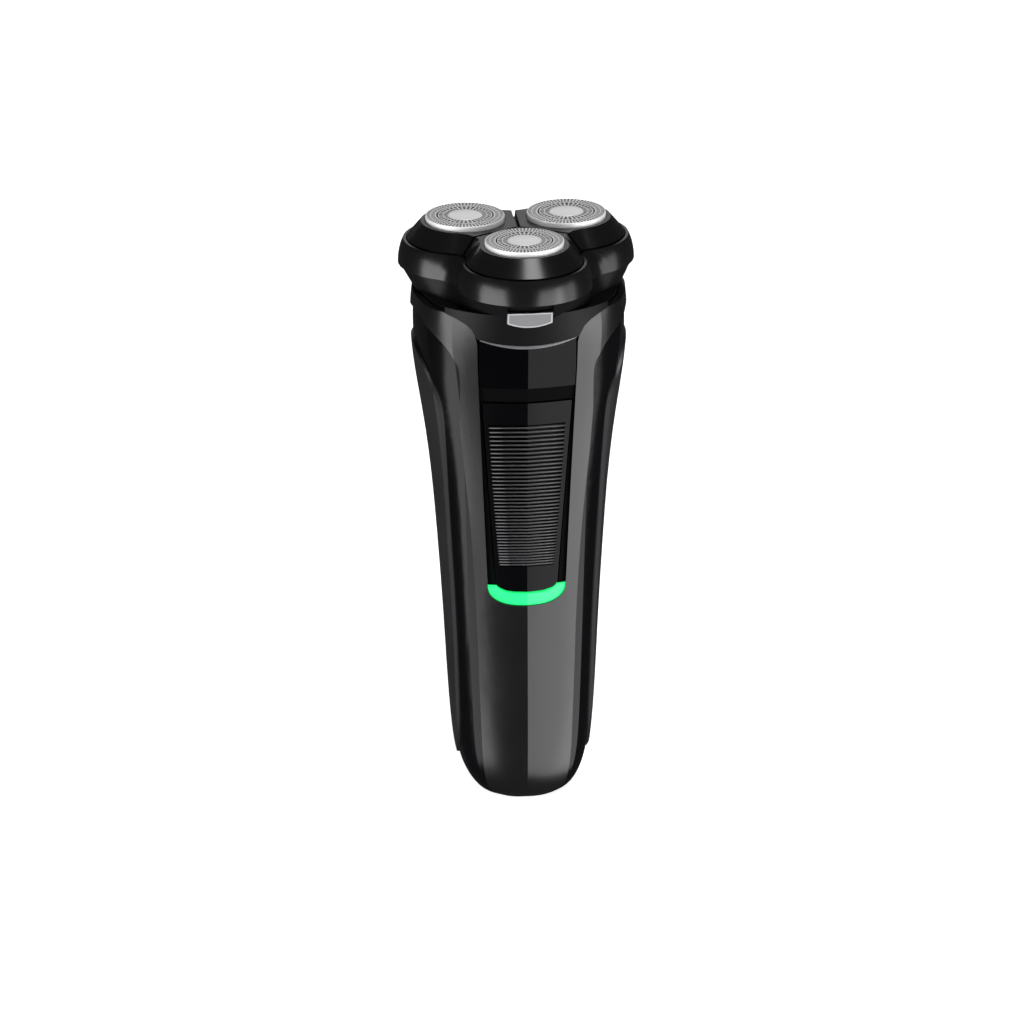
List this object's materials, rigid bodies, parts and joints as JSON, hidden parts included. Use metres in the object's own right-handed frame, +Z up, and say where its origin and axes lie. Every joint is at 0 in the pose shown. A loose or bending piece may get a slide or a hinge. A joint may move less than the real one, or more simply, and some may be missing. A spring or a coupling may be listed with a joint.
{
  "type": "electric shaver",
  "caption": "Cordless rotary electric shaver with a waisted black handle, ribbed power key over a green light, and a hinged clover-shaped head of floating round shaving guards.",
  "frame": {"origin": "Centre of the flat base, on the floor.", "axes": "+Z up along the handle; -Y the front with the key; X across."},
  "size_m": [0.0606, 0.0606, 0.1528],
  "materials": {
    "black_satin": "satin",
    "black_gloss": "gloss",
    "grip_rubber": "matte",
    "key_black": "ribbed satin",
    "inner_plastic": "matte",
    "gear_plastic": "smooth",
    "board_green": "matte",
    "cell_wrap": "gloss",
    "seal_rubber": "matte",
    "steel": "brushed",
    "guard_steel": "fine turned",
    "polished_steel": "polished",
    "silver_satin": "satin",
    "brass": "turned",
    "green_light": "glowing",
    "led_white": "glowing"
  },
  "bodies": {
    "handle": {"battery": "cell_wrap", "battery_tabs": "steel", "charging_socket": "steel", "chassis": "inner_plastic", "circuit_board": "board_green", "collar": "black_satin", "control_bezel": "black_gloss", "cover_screws": "steel", "front_cover": "black_satin", "gear_cover": "inner_plastic", "gear_plate": "inner_plastic", "hinge_pin": "steel", "indicator_leds": "led_white", "key_switch": "inner_plastic", "light_guide": "green_light", "mid_frame": "black_gloss", "motor_can": "steel", "motor_end_cap": "inner_plastic", "rear_grip": "grip_rubber", "release_spring": "steel", "spindle_seals": "seal_rubber", "upper_panel": "black_gloss"},
    "power_key": {"power_key": "key_black"},
    "release_button": {"release_button": "silver_satin"},
    "head": {"head_shell": "black_satin", "head_frame": "inner_plastic", "petal_pins": "steel"},
    "motor_rotor": {"motor_shaft": "steel", "pinion": "brass"},
    "gear_front": {"gear_front": "gear_plastic", "spindle_front": "gear_plastic"},
    "petal_front": {"petal_front": "black_satin", "retainer_front": "inner_plastic", "wave_spring_front": "steel"},
    "guard_front": {"guard_front": "guard_steel", "guard_cap_front": "polished_steel"},
    "cutter_front": {"cutter_blades_front": "steel", "cutter_hub_front": "gear_plastic"},
    "gear_left": {"gear_left": "gear_plastic", "spindle_left": "gear_plastic"},
    "petal_left": {"petal_left": "black_satin", "retainer_left": "inner_plastic", "wave_spring_left": "steel"},
    "guard_left": {"guard_left": "guard_steel", "guard_cap_left": "polished_steel"},
    "cutter_left": {"cutter_blades_left": "steel", "cutter_hub_left": "gear_plastic"},
    "gear_right": {"gear_right": "gear_plastic", "spindle_right": "gear_plastic"},
    "petal_right": {"petal_right": "black_satin", "retainer_right": "inner_plastic", "wave_spring_right": "steel"},
    "guard_right": {"guard_right": "guard_steel", "guard_cap_right": "polished_steel"},
    "cutter_right": {"cutter_blades_right": "steel", "cutter_hub_right": "gear_plastic"}
  },
  "joints": [
    {"name": "key_press", "type": "hinge", "parent": "handle", "child": "power_key", "pos_m": [0, -0.015, 0.108], "axis": [1, 0, 0], "range_deg": [0, 1], "stiffness_Nm_per_rad": 0.6, "springref_deg": -1.15},
    {"name": "release_press", "type": "slide", "parent": "handle", "child": "release_button", "axis": [0, 1, 0], "range_m": [0, 0.0012], "stiffness_N_per_m": 1200, "springref_m": -0.0005, "deforming": ["release_spring"]},
    {"name": "head_open", "type": "hinge", "parent": "handle", "child": "head", "pos_m": [0, 0.0264, 0.1396], "axis": [-1, 0, 0], "range_deg": [0, 95]},
    {"name": "motor_spin", "type": "hinge", "parent": "handle", "child": "motor_rotor", "pos_m": [0, 0, 0.12], "axis": [0, 0, 1], "continuous": true},
    {"name": "gear_spin_front", "type": "hinge", "parent": "handle", "child": "gear_front", "pos_m": [0, -0.015, 0.1368], "axis": [0, 0, 1], "continuous": true},
    {"name": "petal_tilt_front", "type": "hinge", "parent": "head", "child": "petal_front", "pos_m": [0, -0.015, 0.1446], "axis": [1, 0, 0], "range_deg": [-2, 2], "stiffness_Nm_per_rad": 0.4},
    {"name": "guard_float_front", "type": "slide", "parent": "petal_front", "child": "guard_front", "axis": [0, 0, -1], "range_m": [0, 0.001], "stiffness_N_per_m": 500, "springref_m": -0.0005, "deforming": ["wave_spring_front"]},
    {"name": "cutter_spin_front", "type": "hinge", "parent": "guard_front", "child": "cutter_front", "pos_m": [0, -0.015, 0.15], "axis": [0, 0, 1], "continuous": true},
    {"name": "gear_spin_left", "type": "hinge", "parent": "handle", "child": "gear_left", "pos_m": [-0.01299, 0.0075, 0.1368], "axis": [0, 0, 1], "continuous": true},
    {"name": "petal_tilt_left", "type": "hinge", "parent": "head", "child": "petal_left", "pos_m": [-0.01299, 0.0075, 0.1446], "axis": [-0.5, -0.866, 0], "range_deg": [-2, 2], "stiffness_Nm_per_rad": 0.4},
    {"name": "guard_float_left", "type": "slide", "parent": "petal_left", "child": "guard_left", "axis": [0, 0, -1], "range_m": [0, 0.001], "stiffness_N_per_m": 500, "springref_m": -0.0005, "deforming": ["wave_spring_left"]},
    {"name": "cutter_spin_left", "type": "hinge", "parent": "guard_left", "child": "cutter_left", "pos_m": [-0.01299, 0.0075, 0.15], "axis": [0, 0, 1], "continuous": true},
    {"name": "gear_spin_right", "type": "hinge", "parent": "handle", "child": "gear_right", "pos_m": [0.01299, 0.0075, 0.1368], "axis": [0, 0, 1], "continuous": true},
    {"name": "petal_tilt_right", "type": "hinge", "parent": "head", "child": "petal_right", "pos_m": [0.01299, 0.0075, 0.1446], "axis": [-0.5, 0.866, 0], "range_deg": [-2, 2], "stiffness_Nm_per_rad": 0.4},
    {"name": "guard_float_right", "type": "slide", "parent": "petal_right", "child": "guard_right", "axis": [0, 0, -1], "range_m": [0, 0.001], "stiffness_N_per_m": 500, "springref_m": -0.0005, "deforming": ["wave_spring_right"]},
    {"name": "cutter_spin_right", "type": "hinge", "parent": "guard_right", "child": "cutter_right", "pos_m": [0.01299, 0.0075, 0.15], "axis": [0, 0, 1], "continuous": true}
  ],
  "couplings": [
    {"joint": "gear_spin_front", "follows": "motor_spin", "ratio": -0.72414},
    {"joint": "cutter_spin_front", "follows": "motor_spin", "ratio": -0.72414},
    {"joint": "gear_spin_left", "follows": "motor_spin", "ratio": -0.72414},
    {"joint": "cutter_spin_left", "follows": "motor_spin", "ratio": -0.72414},
    {"joint": "gear_spin_right", "follows": "motor_spin", "ratio": -0.72414},
    {"joint": "cutter_spin_right", "follows": "motor_spin", "ratio": -0.72414}
  ]
}
